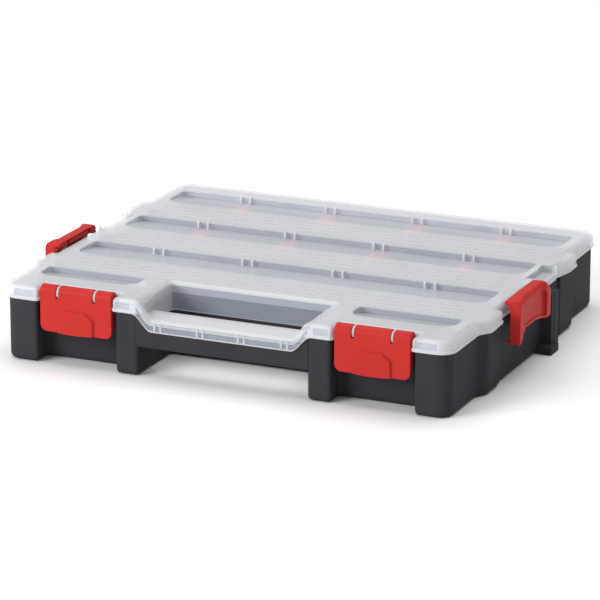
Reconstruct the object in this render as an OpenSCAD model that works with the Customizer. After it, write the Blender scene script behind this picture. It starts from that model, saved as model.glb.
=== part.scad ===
// Stackable parts organizer: a black tray with a clear hinged lid that is the
// top half of the carry handle, two front latches, two side latches and eight
// removable dividers. +X right, +Y to the hinge, +Z up; origin on the floor
// under the middle of the tray.

/* [Case] */
// Width of the tray across its corner columns
case_w = 400; // [380:1:480]
// Depth of the tray from the handle face to the hinge wall
case_d = 348; // [340:1:420]
// Height of the tray rim
base_h = 54; // [50:1:66]
// Height of the flat top of the lid above the tray rim
lid_rise = 12; // [12:0.5:20]
// Thickness of the tray's outer walls
wall = 2.4; // [2:0.1:3.4]
// Thickness of the tray's floor
floor_t = 2.4; // [2:0.1:3.4]
// Thickness of the lid's skin and skirt
skin = 1.8; // [1.4:0.1:2.2]
// How far the lid's skirt stands out past the tray
overhang = 2.5; // [2.2:0.1:3]
// Radius of the outer corner columns in plan
corner_r = 12; // [8:0.5:16]

/* [Sides] */
// How far the side shoulders stand out past the corner columns
shoulder_out = 6.5; // [5:0.5:8]
// How far the wall between the shoulders stands out past the corner columns
side_wall_out = 4; // [3:0.5:4.5]
// Front end of the front shoulder
shoulder_front_y = -112; // [-118:1:-106]
// Back end of the front shoulder
shoulder_back_y = -77; // [-82:1:-74]
// Front end of the rear shoulder
rear_shoulder_y = 75; // [70:1:80]
// Length of the rear shoulder
rear_shoulder_l = 26; // [20:1:32]
// Front face of the stacking lug
lug_y = 16; // [15:1:18]
// Length of the stacking lug
lug_l = 28; // [20:1:32]
// How far the foot of the lug stands out from the side wall
lug_out = 14; // [10:0.5:15]

/* [Handle] */
// Clear width of the handle opening between the two legs
handle_w = 153; // [130:1:160]
// Width of each leg beside the handle
leg_w = 20.5; // [16:0.5:24]
// How far the tray wall behind the handle is set back
handle_reach = 65; // [58:1:66]
// Depth of the handle bar
bar_d = 23.5; // [20:0.5:26]
// Height of the underside of the bar
bar_z = 25.3; // [20:0.5:28]
// Height of the tray's half of the bar
bar_h = 15; // [12:0.5:18]
// Height of the lid's half of the bar
grip_h = 10.7; // [9:0.1:11]

/* [Front latches] */
// Width of a corner column at the front
column_w = 30; // [24:1:34]
// Depth of the recess behind a front latch
recess_d = 19; // [18:0.5:20]
// Height of the lower edge of a front latch
latch_z = 28.7; // [24:0.1:32]
// Radius of the latch's knuckle
knuckle_r = 6; // [5.5:0.1:6.2]
// Half the distance between the lid's two ears in a latch
ear_x = 17; // [14:0.5:20]
// Thickness of the plate of the latches
plate_t = 3; // [2.4:0.1:3.4]
// Radius of the steel pins
pin_r = 1.5; // [1.2:0.1:1.8]

/* [Side latches] */
// Front end of a side latch
side_latch_y = -65; // [-68:1:-60]
// Length of a side latch
side_latch_l = 75; // [65:1:76]
// Height of the lower end of a side latch's front leg
side_latch_z = 33; // [30:0.5:36]

/* [Compartments] */
// Distance between two row walls
row_pitch = 89.5; // [80:0.5:90]
// Distance between two divider places
place_pitch = 84; // [70:1:86]
// Thickness of the row walls
row_t = 2; // [1.6:0.1:2.4]
// Thickness of a divider
divider_t = 1.8; // [1.4:0.1:2.4]

/* [Lid windows] */
// Depth of a window at its back wall
window_h = 6; // [4:0.5:6]
// Length of a window from its back wall to where it meets the flat top
window_l = 40; // [34:1:44]
// Length of the two short windows beside the handle
short_window_l = 26; // [20:1:28]
// Distance from a row's front wall to the back wall of its window
window_back = 61; // [56:1:63]
// Width of the flat rim beside a window
rim_w = 12; // [10:0.5:16]

/* [Hinge] */
// Distance of a hinge from the middle of the case
hinge_x = 115; // [80:1:140]
// Length of the lid's knuckle
hinge_l = 30; // [20:1:40]
// Length of each of the tray's knuckles
side_knuckle_l = 14; // [10:1:20]
// Radius of the hinge knuckles
hinge_r = 4.2; // [3.8:0.1:4.4]

/* [Clearances] */
// Gap between the lid and the tray all round
seat_gap = 0.4; // [0.3:0.05:0.5]
// Gap at each side of a part that slides into a slot
slot_gap = 0.2; // [0.15:0.05:0.4]
// Radial gap of a pin in a bore that turns on it
run_gap = 0.08; // [0.05:0.01:0.1]

/* [Hidden] */
$fn = 48;
eps = 0.01;
arc_steps = 5;

tray_colour = "#2b2b30";
lid_colour = "#dcdfe6";
latch_colour = "#d8312e";
divider_colour = "#c8242b";
steel_colour = "#b8bcc2";

// Levels and places worked out from the sizes above
front_y = -case_d / 2;
back_y = case_d / 2;
side_x = case_w / 2;
case_h = base_h + lid_rise;
leg_x = handle_w / 2;
recess_x0 = leg_x + leg_w;
recess_x1 = side_x - column_w;
latch_mid_x = (recess_x0 + recess_x1) / 2;
latch_w = recess_x1 - recess_x0 - 2 * overhang - 1.8;
split_z = bar_z + bar_h;
grip_z = split_z + grip_h;
grip_back_y = front_y + bar_d + overhang;
handle_wall_y = front_y + handle_reach;
small_r = 3;

// Axes of the joints
hinge_y = back_y + 6;
hinge_z = base_h - 2;
latch_axis_y = front_y - 0.2 + knuckle_r;
latch_axis_z = case_h + 2.3 - knuckle_r;
side_axis_x = side_x + 10.2;
side_axis_z = case_h + 4 - knuckle_r;

// The lid leaves room for the latches here
lid_latch_y = latch_axis_y + knuckle_r + 0.8;
lid_side_x = side_axis_x - knuckle_r - 0.7;
ear_t = 2.2;
ear_gap = 0.4;
side_ear_y = [side_latch_y + 18, side_latch_y + side_latch_l - 18];

// Compartments
row_y = [-row_pitch, 0, row_pitch];
place_x = [-1.5 * place_pitch, -0.5 * place_pitch, 0.5 * place_pitch, 1.5 * place_pitch];
tongue_t = 1.6;
tongue_drop = 3.5;
tongue_gap = 0.5;
row_wall_h = case_h - skin - 1.2;
divider_top = case_h - window_h - skin - 0.5;
guide_t = 1.4;
guide_h = base_h - tongue_drop - 1;

// Round the corners of a closed outline of [x, y, radius]
function unit(v) = v / norm(v);
function arc_points(m, r, a0, turn) =
    [for (k = [0 : arc_steps]) m + r * [cos(a0 + turn * k / arc_steps), sin(a0 + turn * k / arc_steps)]];
function wrapped(a) = a > 180 ? a - 360 : (a < -180 ? a + 360 : a);
function corner_points(a, b, c, r) =
    let (
        u = unit(a - b),
        w = unit(c - b),
        half = acos(u * w) / 2,
        m = b + unit(u + w) * r / sin(half),
        s = b + u * r / tan(half) - m,
        e = b + w * r / tan(half) - m,
        a0 = atan2(s[1], s[0])
    )
    arc_points(m, r, a0, wrapped(atan2(e[1], e[0]) - a0));
function rounded(p) = [
    for (i = [0 : len(p) - 1])
        let (
            a = p[(i + len(p) - 1) % len(p)],
            b = p[i],
            c = p[(i + 1) % len(p)]
        )
        each b[2] < 0.05 ? [[b[0], b[1]]] : corner_points([a[0], a[1]], [b[0], b[1]], [c[0], c[1]], b[2])
];
function both_sides(p) = concat(p, [for (i = [len(p) - 1 : -1 : 0]) [-p[i][0], p[i][1], p[i][2]]]);

// Outer face of the tray in plan, moved g inwards; g < 0 is outwards
function tray_half(g) = [
    [leg_x + g, handle_wall_y + g, small_r + g],
    [leg_x + g, front_y + g, max(small_r - g, 0)],
    [recess_x0 - g, front_y + g, max(small_r - g, 0)],
    [recess_x0 - g, front_y + recess_d + g, small_r + g],
    [recess_x1 + g, front_y + recess_d + g, small_r + g],
    [recess_x1 + g, front_y + g, max(small_r - g, 0)],
    [side_x - g, front_y + g, corner_r - g],
    [side_x - g, shoulder_front_y + g, 1],
    [side_x + shoulder_out - g, shoulder_front_y + g, 1],
    [side_x + shoulder_out - g, shoulder_back_y - g, 0],
    [side_x + side_wall_out - g, shoulder_back_y - g, 0],
    [side_x + side_wall_out - g, rear_shoulder_y + g, 0],
    [side_x + shoulder_out - g, rear_shoulder_y + g, 0],
    [side_x + shoulder_out - g, rear_shoulder_y + rear_shoulder_l - g, 1],
    [side_x - g, rear_shoulder_y + rear_shoulder_l - g, 1],
    [side_x - g, back_y - g, corner_r - g]
];

// Outer face of the lid in plan, moved g inwards
function lid_half(g) = [
    [leg_x - overhang + g, handle_wall_y - overhang + g, small_r + g],
    [leg_x - overhang + g, front_y - overhang + g, max(small_r - g, 0)],
    [recess_x0 + overhang - g, front_y - overhang + g, max(small_r - g, 0)],
    [recess_x0 + overhang - g, lid_latch_y + g, 1 + g],
    [recess_x1 - overhang + g, lid_latch_y + g, 1 + g],
    [recess_x1 - overhang + g, front_y - overhang + g, max(small_r - g, 0)],
    [side_x + overhang - g, front_y - overhang + g, corner_r + overhang - g],
    [side_x + overhang - g, shoulder_front_y - overhang + g, 1],
    [side_x + overhang + shoulder_out - g, shoulder_front_y - overhang + g, 1],
    [side_x + overhang + shoulder_out - g, shoulder_back_y + overhang - g, 1],
    [lid_side_x - g, shoulder_back_y + overhang - g, 0],
    [lid_side_x - g, lug_y - overhang + g, 0],
    [side_x + overhang + side_wall_out - g, lug_y - overhang + g, 0],
    [side_x + overhang + side_wall_out - g, rear_shoulder_y - overhang + g, 0],
    [side_x + overhang + shoulder_out - g, rear_shoulder_y - overhang + g, 1],
    [side_x + overhang + shoulder_out - g, rear_shoulder_y + rear_shoulder_l + overhang - g, 1],
    [side_x + overhang - g, rear_shoulder_y + rear_shoulder_l + overhang - g, 1],
    [side_x + overhang - g, back_y + overhang - g, corner_r + overhang - g]
];

module tray_slab(g, z0, z1) {
    translate([0, 0, z0]) linear_extrude(z1 - z0) polygon(rounded(both_sides(tray_half(g))));
}

module lid_slab(g, z0, z1) {
    translate([0, 0, z0]) linear_extrude(z1 - z0) polygon(rounded(both_sides(lid_half(g))));
}

module box(x0, x1, y0, y1, z0, z1) {
    translate([x0, y0, z0]) cube([x1 - x0, y1 - y0, z1 - z0]);
}

// A rod along X from x0 to x1 about the line y, z
module rod_x(x0, x1, y, z, r) {
    translate([x0, y, z]) rotate([0, 90, 0]) cylinder(h = x1 - x0, r = r);
}

// A rod along Y from y0 to y1 about the line x, z
module rod_y(y0, y1, x, z, r) {
    translate([x, y0, z]) rotate([-90, 0, 0]) cylinder(h = y1 - y0, r = r);
}

// A plate that stands across X: its outline is in Y and Z
module plate_x(x0, x1, outline) {
    translate([x0, 0, 0]) rotate([90, 0, 90]) linear_extrude(x1 - x0) polygon(outline);
}

// A plate that stands across Y: its outline is in X and Z
module plate_y(y0, y1, outline) {
    translate([0, y1, 0]) rotate([90, 0, 0]) linear_extrude(y1 - y0) polygon(outline);
}

module both() {
    children();
    mirror([1, 0, 0]) children();
}

// The curve by which the handle drops from a leg to the bar, from x1 at z1 to x0 at z0
function drop(x0, z0, x1, z1) = [
    for (k = [0 : 10]) [x0 + (x1 - x0) * k / 10, z0 + (z1 - z0) * (1 - cos(18 * k)) / 2]
];
function mirrored(p) = [for (i = [len(p) - 1 : -1 : 0]) [-p[i][0], p[i][1]]];
drop_in = 14;
split_out = 4;
cheek_out = 11;
split_drop = drop(leg_x - drop_in, split_z, leg_x + split_out, base_h);
grip_drop = drop(leg_x - drop_in, grip_z, leg_x + cheek_out, case_h);
split_line = concat(mirrored(split_drop), split_drop);
grip_line = concat(mirrored(grip_drop), grip_drop);
function shifted(p, dz) = [for (q = p) [q[0], q[1] + dz]];
function reversed(p) = [for (i = [len(p) - 1 : -1 : 0]) p[i]];
// The band between two lines that run the same way
function band(low, high) = concat(low, reversed(high));

// ---- Tray ----

module tray_shell() {
    difference() {
        tray_slab(0, 0, base_h);
        tray_slab(wall, floor_t, base_h + 1);
        // The wall round the finger gap is as low as the bar
        box(-leg_x - wall - 1, leg_x + wall + 1, front_y + bar_d, handle_wall_y + wall + 1, split_z, base_h + 1);
        both() plate_y(shoulder_back_y, rear_shoulder_y,
            [[side_x, -eps], [side_x + side_wall_out + 1, -eps], [side_x + side_wall_out + 1, side_wall_out + 1]]);
    }
}

module handle_bar() {
    end = leg_x + wall / 2;
    box(-end, end, front_y, front_y + wall, bar_z, base_h);
    box(-end, end, front_y, front_y + bar_d, bar_z, bar_z + wall);
    box(-end, end, front_y + bar_d - wall, front_y + bar_d, bar_z, split_z);
}

// The tray's edge follows the curve of the split from leg to leg
module split_cut() {
    high = [[-leg_x - split_out, base_h + 1], [leg_x + split_out, base_h + 1]];
    plate_y(front_y - 1, front_y + bar_d, band(split_line, high));
}

module row_walls() {
    inner = lid_side_x - overhang - tongue_gap - tongue_t - wall - 1;
    for (y = row_y) {
        box(-side_x, side_x, y - row_t / 2, y + row_t / 2, floor_t - eps, guide_h);
        box(-inner, inner, y - row_t / 2, y + row_t / 2, guide_h - eps, row_wall_h);
    }
}

module divider_guides() {
    off = divider_t / 2 + slot_gap;
    for (y = [-row_pitch, 0, row_pitch], x = place_x, s = [0, 1]) {
        x0 = s == 0 ? x - off - guide_t : x + off;
        box(x0, x0 + guide_t, y + row_t / 2 - eps, y + row_t / 2 + guide_t, floor_t - eps, guide_h);
        if (y > -row_pitch)
            box(x0, x0 + guide_t, y - row_t / 2 - guide_t, y - row_t / 2 + eps, floor_t - eps, guide_h);
        if (y == row_pitch)
            box(x0, x0 + guide_t, back_y - wall - guide_t, back_y - wall + eps, floor_t - eps, guide_h);
    }
}

catch_y = front_y + recess_d - 8;
catch_x = side_x + side_wall_out + 2;
catch_z = base_h - 8;

module catches() {
    both() {
        box(latch_mid_x - 14, latch_mid_x + 14, catch_y, front_y + recess_d + 1, catch_z, catch_z + 3);
        box(side_x + side_wall_out - 1, catch_x, side_latch_y + 28, side_latch_y + side_latch_l - 28,
            catch_z, catch_z + 3);
    }
}

module stacking_lugs() {
    x0 = side_x + side_wall_out - 1;
    x1 = side_x + side_wall_out + lug_out;
    both() {
        box(x0, x1, lug_y, lug_y + 3, 0, base_h - 5);
        box(x0, x1 - 3, lug_y + lug_l - 3, lug_y + lug_l, 0, base_h - 5);
        box(x0, x0 + 5, lug_y, lug_y + lug_l, 0, base_h - 5);
        box(x0, x1, lug_y, lug_y + lug_l, 0, 7);
    }
}

module tray_knuckles() {
    x0 = hinge_l / 2 + 0.5;
    both() for (s = [-1, 1]) {
        x = hinge_x + s * (x0 + side_knuckle_l / 2);
        rod_x(x - side_knuckle_l / 2, x + side_knuckle_l / 2, hinge_y, hinge_z, hinge_r);
        plate_x(x - side_knuckle_l / 2, x + side_knuckle_l / 2,
            [[back_y - wall / 2, hinge_z - hinge_r - 6], [hinge_y, hinge_z - hinge_r], [hinge_y, hinge_z],
             [back_y - wall / 2, hinge_z]]);
    }
}

module base_tray() {
    color(tray_colour) difference() {
        union() {
            tray_shell();
            handle_bar();
            row_walls();
            divider_guides();
            catches();
            stacking_lugs();
            tray_knuckles();
        }
        split_cut();
        both() rod_x(hinge_x - 60, hinge_x + 60, hinge_y, hinge_z, pin_r);
    }
}

// ---- Lid ----

lid_z = base_h + seat_gap;

module lid_shell() {
    difference() {
        union() {
            lid_slab(0, lid_z, case_h - 1.5);
            lid_slab(1.5, case_h - 2, case_h);
        }
        lid_slab(skin, lid_z - 1, case_h - skin);
    }
}

// The tongue that drops inside the tray's wall and locates the lid
module lid_tongue() {
    difference() {
        tray_slab(wall + tongue_gap, base_h - tongue_drop, case_h - skin + eps);
        tray_slab(wall + tongue_gap + tongue_t, base_h - tongue_drop - 1, case_h);
    }
}

module window_pan(x0, x1, y, l) {
    plate_x(x0, x1, [[y, case_h - window_h - skin], [y + skin, case_h - window_h - skin], [y + skin, case_h - eps],
                     [y - l, case_h - eps], [y - l, case_h - skin]]);
}

module window_cut(x0, x1, y, l) {
    plate_x(x0, x1, [[y, case_h - window_h], [y, case_h + 1], [y - l, case_h + 1], [y - l, case_h]]);
}

window_x = side_x - rim_w;
short_x = leg_x + leg_w + 1;

module window_pans() {
    for (y = row_y) window_pan(-window_x - skin, window_x + skin, y + window_back, window_l);
    both() window_pan(short_x - skin, window_x + skin, front_y + window_back, short_window_l);
}

module window_cuts() {
    for (y = row_y) window_cut(-window_x, window_x, y + window_back, window_l);
    both() window_cut(short_x, window_x, front_y + window_back, short_window_l);
}

// Pairs of ribs that straddle the top of each divider
module window_ribs() {
    for (y = row_y, x = place_x, s = [-1, 1])
        box(x + s * 4.6 - 0.7, x + s * 4.6 + 0.7, y + window_back - 3, y + window_back + eps,
            divider_top - 2, case_h);
}

// The pocket that takes the lug of the case above
module pocket_floor() {
    both() box(side_x - rim_w / 2 - 2, side_x + side_wall_out + overhang, lug_y - overhang, lug_y + lug_l + 14,
        case_h - window_h - skin, case_h - window_h + 1);
}

module pocket_cut() {
    both() box(side_x - rim_w / 2, side_x + 20, lug_y - overhang + skin, lug_y + lug_l + 12,
        case_h - window_h, case_h + 1);
}

// The lid's half of the handle bar
module grip() {
    x1 = leg_x - overhang;
    y0 = front_y - overhang;
    low = shifted(split_line, seat_gap);
    inner = [for (p = grip_line) if (abs(p[0]) <= leg_x + split_out + 0.1) p];
    plate_y(y0, y0 + skin, band(low, inner));
    plate_y(y0, grip_back_y, band(shifted(grip_line, -skin), grip_line));
    box(-x1, x1, grip_back_y - skin, grip_back_y, split_z + seat_gap, grip_z - eps);
}

// The lid's wall round the finger gap, down to the tray's low wall
module gap_skirt() {
    intersection() {
        difference() {
            lid_slab(0, split_z + seat_gap, lid_z + 1);
            lid_slab(skin, split_z - 1, lid_z + 2);
        }
        box(-leg_x - 1, leg_x + 1, grip_back_y - 1, handle_wall_y + 1, split_z, lid_z + 1);
    }
}

// Ribs on the front of the grip, in four pairs
module grip_ribs() {
    y0 = front_y - overhang;
    for (x = [-57, -18.6, 18.6, 57], s = [-2.7, 2.7])
        box(x + s - 0.7, x + s + 0.7, y0 - 0.5, y0 + eps, split_z + seat_gap + 1, grip_z - 1.5);
}

cheek_back_y = grip_back_y - 12;

module cheek_cut() {
    high = [[-leg_x - cheek_out, case_h + 2], [leg_x + cheek_out, case_h + 2]];
    plate_y(front_y - overhang - 1, cheek_back_y, band(grip_line, high));
}

// The wall that closes the lid behind each cheek
module cheek_walls() {
    both() intersection() {
        plate_y(cheek_back_y, cheek_back_y + skin, concat(grip_drop, [[leg_x - drop_in, case_h]]));
        box(leg_x - overhang, leg_x + cheek_out + 1, cheek_back_y - 1, cheek_back_y + skin + 1, grip_z, case_h + 1);
    }
}

module latch_ears() {
    both() for (s = [-1, 1]) {
        x = latch_mid_x + s * ear_x;
        rod_x(x - ear_t / 2, x + ear_t / 2, latch_axis_y, latch_axis_z, knuckle_r - 0.3);
        box(x - ear_t / 2, x + ear_t / 2, latch_axis_y, lid_latch_y + skin / 2,
            latch_axis_z - 4, latch_axis_z + 3.6);
    }
}

module side_latch_ears() {
    both() for (y = side_ear_y) {
        rod_y(y - ear_t / 2, y + ear_t / 2, side_axis_x, side_axis_z, 3);
        box(side_axis_x - 2.2, side_axis_x + 2, y - ear_t / 2, y + ear_t / 2, lid_z + 0.2, side_axis_z);
        box(lid_side_x - skin / 2, side_axis_x + 2, y - ear_t / 2, y + ear_t / 2, lid_z + 0.2, lid_z + 3);
    }
}

module lid_knuckles() {
    both() {
        rod_x(hinge_x - hinge_l / 2, hinge_x + hinge_l / 2, hinge_y, hinge_z, hinge_r);
        plate_x(hinge_x - hinge_l / 2, hinge_x + hinge_l / 2,
            [[back_y + overhang - skin / 2, lid_z + 0.2], [hinge_y - 1, hinge_z], [hinge_y + hinge_r, hinge_z],
             [hinge_y + hinge_r, hinge_z + 1.5], [back_y + overhang + 1, case_h - 4],
             [back_y + overhang - skin / 2, case_h - 4]]);
    }
}

module lid() {
    gap = 0.6;
    color(lid_colour) difference() {
        union() {
            difference() {
                union() {
                    lid_shell();
                    lid_tongue();
                    window_pans();
                    pocket_floor();
                }
                window_cuts();
                pocket_cut();
                cheek_cut();
                // The tongue stops at the finger gap and the bar
                box(-leg_x - wall - 6, leg_x + wall + 6, front_y - 1, handle_wall_y + wall + 5,
                    base_h - tongue_drop - 1, lid_z);
            }
            window_ribs();
            grip();
            cheek_walls();
            grip_ribs();
            gap_skirt();
            latch_ears();
            side_latch_ears();
            lid_knuckles();
        }
        both() {
            rod_x(latch_mid_x - 60, latch_mid_x + 60, latch_axis_y, latch_axis_z, pin_r);
            rod_y(side_latch_y, side_latch_y + side_latch_l, side_axis_x, side_axis_z, pin_r);
            rod_x(hinge_x - 60, hinge_x + 60, hinge_y, hinge_z, pin_r + run_gap);
            for (s = [-1, 1]) {
                x = hinge_x + s * (hinge_l / 2 + side_knuckle_l / 2 + 0.5);
                rod_x(x - side_knuckle_l / 2 - 0.5, x + side_knuckle_l / 2 + 0.5, hinge_y, hinge_z, hinge_r + gap);
            }
        }
    }
}

// ---- Pins ----

module hinge_pin(side) {
    l = hinge_l + 2 * side_knuckle_l + 1;
    color(steel_colour) rod_x(side * hinge_x - l / 2, side * hinge_x + l / 2, hinge_y, hinge_z, pin_r);
}

module front_latch_pin(side) {
    x = side * latch_mid_x;
    color(steel_colour) rod_x(x - latch_w / 2 + 2, x + latch_w / 2 - 2, latch_axis_y, latch_axis_z, pin_r);
}

module side_latch_pin(side) {
    color(steel_colour) rod_y(side_latch_y + 2, side_latch_y + side_latch_l - 2, side * side_axis_x, side_axis_z, pin_r);
}

// ---- Latches ----

// Front latch with its middle at x = 0
module front_latch_body() {
    w = latch_w / 2;
    y0 = front_y - 0.2;
    pad_top = latch_z + 20.3;
    difference() {
        union() {
            rod_x(-w, w, latch_axis_y, latch_axis_z, knuckle_r);
            plate_y(y0, y0 + plate_t,
                rounded([[-w, latch_z, 6], [w, latch_z, 6], [w, latch_axis_z, 0], [-w, latch_axis_z, 0]]));
            // The raised thumb pad
            plate_y(y0 - 1.2, y0 + eps,
                [[-ear_x, latch_z], [ear_x, latch_z], [ear_x, pad_top - 6], [ear_x - 7.5, pad_top],
                 [7.5 - ear_x, pad_top], [-ear_x, pad_top - 6]]);
            // Side returns and the nose that catches under the tray's ledge
            for (s = [-1, 1])
                plate_x(s * (w - 1) - 1, s * (w - 1) + 1,
                    [[y0 + 1, latch_z + 7], [y0 + 8, latch_z + 10], [y0 + 8, latch_axis_z - 12],
                     [y0 + 1, latch_axis_z - 2]]);
            for (x = [-11, 0, 11])
                plate_x(x - 1, x + 1,
                    [[y0 + 1, catch_z - 8], [catch_y - 0.5, catch_z - 4], [catch_y - 0.5, catch_z - 1],
                     [y0 + 1, catch_z + 3]]);
            box(-13, 13, y0 + 1, catch_y - 0.5, catch_z - 4, catch_z - 1);
        }
        for (s = [-1, 1])
            rod_x(s * ear_x - ear_t / 2 - ear_gap, s * ear_x + ear_t / 2 + ear_gap,
                latch_axis_y, latch_axis_z, knuckle_r + 0.1);
        rod_x(-w - 1, w + 1, latch_axis_y, latch_axis_z, pin_r + run_gap);
    }
}

module front_latch(side) {
    color(latch_colour) translate([side * latch_mid_x, 0, 0]) front_latch_body();
}

// Side latch on the right; its profile is in X and Z
module side_latch_body() {
    y1 = side_latch_y + side_latch_l;
    x = side_axis_x;
    out = x + knuckle_r + 0.4;
    low = side_latch_z;
    color(latch_colour) difference() {
        union() {
            difference() {
                rod_y(side_latch_y, y1, x, side_axis_z, knuckle_r);
                // The rear end is cut off at a slope
                plate_x(x - 10, x + 12, [[y1 - 12, side_axis_z + 7], [y1 + 1, side_axis_z + 7], [y1 + 1, side_axis_z - 2]]);
            }
            // The plate, with an arched lower edge
            plate_x(out - plate_t - 0.4, out, [
                [side_latch_y, low], [side_latch_y + 9, low], [side_latch_y + 13, low + 6],
                [side_latch_y + 24, low + 8.5], [y1 - 22, low + 8.5], [y1 - 14, low + 4], [y1, low + 3],
                [y1, side_axis_z - 1], [y1 - 8, side_axis_z + 3], [side_latch_y, side_axis_z + 3]]);
            // The front leg and the raised rear edge
            plate_y(side_latch_y, side_latch_y + 9,
                [[x - 4.5, low], [out + 1, low], [out + 3.4, low + 3], [out + 3.4, side_axis_z],
                 [out, side_axis_z + 3], [out - plate_t, side_axis_z + 3], [out - plate_t, low + 3.4], [x - 4.5, low + 3]]);
            plate_x(out - 1, out + 2.4,
                [[y1 - 14, low + 4], [y1, low + 3], [y1, side_axis_z - 1], [y1 - 8, side_axis_z + 2],
                 [y1 - 14, side_axis_z + 2]]);
            // The nose that catches under the tray's ledge
            box(catch_x + 0.4, out - 1, side_latch_y + 30, y1 - 30, catch_z - 5, catch_z - 2);
        }
        for (y = side_ear_y) {
            rod_y(y - ear_t / 2 - ear_gap, y + ear_t / 2 + ear_gap, x, side_axis_z, 3.5);
            box(x - knuckle_r - 1, x + 2.3, y - ear_t / 2 - ear_gap, y + ear_t / 2 + ear_gap,
                side_axis_z - knuckle_r - 1, side_axis_z);
            plate_y(y - ear_t / 2 - ear_gap, y + ear_t / 2 + ear_gap,
                [[x, side_axis_z], [x - 9, side_axis_z], [x - 9, side_axis_z + 9]]);
        }
        rod_y(side_latch_y - 1, y1 + 1, x, side_axis_z, pin_r + run_gap);
    }
}

module side_latch(side) {
    if (side > 0) side_latch_body();
    else mirror([1, 0, 0]) side_latch_body();
}

// ---- Dividers ----

// A divider behind row wall `row` at divider place `place`
module divider(row, place) {
    x = place_x[place];
    y0 = row_y[row] + row_t / 2 + slot_gap;
    last = row == len(row_y) - 1;
    y1 = last ? back_y - wall - slot_gap : row_y[row + 1] - row_t / 2 - slot_gap;
    grip_y = row_y[row] + window_back - 11;
    color(divider_colour) {
        plate_x(x - divider_t / 2, x + divider_t / 2,
            [[y0, floor_t], [y1, floor_t], [y1, guide_h - 1], [y1 - 5, guide_h - 1], [y1 - 8, divider_top],
             [y0 + 3, divider_top], [y0, divider_top - 3]]);
        box(x - 7, x + 7, grip_y - 7, grip_y + 6, divider_top - 1.6, divider_top);
    }
}

base_tray();
lid();
hinge_pin(-1);  // hinge_pin_left
hinge_pin(1);  // hinge_pin_right
front_latch(-1);  // front_latch_left
front_latch(1);  // front_latch_right
front_latch_pin(-1);  // front_latch_pin_left
front_latch_pin(1);  // front_latch_pin_right
side_latch(-1);  // side_latch_left
side_latch(1);  // side_latch_right
side_latch_pin(-1);  // side_latch_pin_left
side_latch_pin(1);  // side_latch_pin_right
divider(1, 0);  // divider_middle_1
divider(1, 1);  // divider_middle_2
divider(1, 2);  // divider_middle_3
divider(1, 3);  // divider_middle_4
divider(2, 0);  // divider_rear_1
divider(2, 1);  // divider_rear_2
divider(2, 2);  // divider_rear_3
divider(2, 3);  // divider_rear_4
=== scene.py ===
"""Looks of the parts organizer: black tray, frosted hinged lid, red latches and dividers.

Sizes are in millimetres and in the CAD model's frame: +X right, +Y to the hinge, +Z up.
"""

import math

import bmesh
import bpy
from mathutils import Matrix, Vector


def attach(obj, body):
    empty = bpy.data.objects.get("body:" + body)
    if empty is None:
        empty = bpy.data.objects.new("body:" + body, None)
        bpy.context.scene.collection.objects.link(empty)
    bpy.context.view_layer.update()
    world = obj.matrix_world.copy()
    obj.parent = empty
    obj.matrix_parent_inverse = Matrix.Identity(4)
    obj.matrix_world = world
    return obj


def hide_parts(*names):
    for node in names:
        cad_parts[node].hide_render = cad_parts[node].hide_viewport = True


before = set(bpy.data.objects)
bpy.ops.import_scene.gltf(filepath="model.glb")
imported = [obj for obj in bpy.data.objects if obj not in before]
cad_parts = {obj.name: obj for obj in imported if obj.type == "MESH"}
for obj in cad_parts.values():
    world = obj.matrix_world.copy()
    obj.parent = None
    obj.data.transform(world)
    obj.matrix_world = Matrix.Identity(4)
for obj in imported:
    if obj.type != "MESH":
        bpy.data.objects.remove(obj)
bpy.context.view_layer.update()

MM = 0.001
ARC_STEPS = 6
SIDES = (-1, 1)

# In the names below, X, Y and Z give a place, R a radius, L a length, H a height, T a thickness,
# D a depth, W a width, HALF half a width, OFF a distance to either side of a middle, and OUT and IN
# how far a shape stands outside or inside another.

# Tray; the shoulders are the wide parts of its sides, and the slant leads out to the front one
FRONT = -174.0
BACK = 174.0
SIDE_X = 200.0
RIM_Z = 54.0
WALL = 2.4
FLOOR = 2.4
CORNER_R = 12.0
EDGE_R = 3.0
FOOT_R = 4.5
SMALL_R = 1.4
LEAST_R = 0.8
SHOULDER_OUT = 6.5
SIDE_WALL_OUT = 4.0
SLANT = (-113.0, -103.0)
SLANT_R = 9.0
FRONT_SHOULDER_END = -77.0
REAR_SHOULDER = (67.0, 101.0)
REAR_SHOULDER_R = 3.5
LUG = (16.0, 44.0)
LUG_OUT = 14.0
CATCH_Z = RIM_Z - 8
CATCH_T = 3.0

# Handle, with the finger gap behind it and the recesses for the front latches beside it;
# the split is the line between its lower half and its upper half
LEG_X = 76.5
RECESS_X = (97.0, 170.0)
RECESS_D = 19.0
HANDLE_WALL = -109.0
BAR_D = 23.5
BAR_Z = 25.3
BAR_R = 2.5
SPLIT_Z = 40.3
GRIP_Z = 51.0
DROP_IN = 14.0
SPLIT_OUT = 4.0
CHEEK_OUT = 1.0
CHEEK_L = 9.0
GRIP_R = 3.0
GRIP_EDGE_R = 1.2
GRIP_RIBS = (-57.0, -18.6, 18.6, 57.0)
GRIP_RIB_OFF = 2.7

# Lid; the skirt is its outer wall, and the lip is the rim at the skirt's foot
TOP = 66.0
SEAT_GAP = 0.4
LID_Z = RIM_Z + SEAT_GAP
OVERHANG = 2.5
SKIN = 1.8
LIP_H = 2.4
LIP_OUT = 0.8
TOP_R = 4.0
LID_SLANT = (-114.5, -104.0)
LID_LEAST_R = 0.9
BULGE = 1.0
LATCH_WALL = -161.4
LATCH_SIDE = 203.5
SKIRT_Y = FRONT - OVERHANG + LIP_OUT
GRIP_BACK = FRONT + BAR_D + OVERHANG
TONGUE_GAP = 0.5
TONGUE_T = 1.6
TONGUE_DROP = 3.5
PROUD = 0.06
POCKET_IN = 6.0
POCKET_END = 58.0

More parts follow.
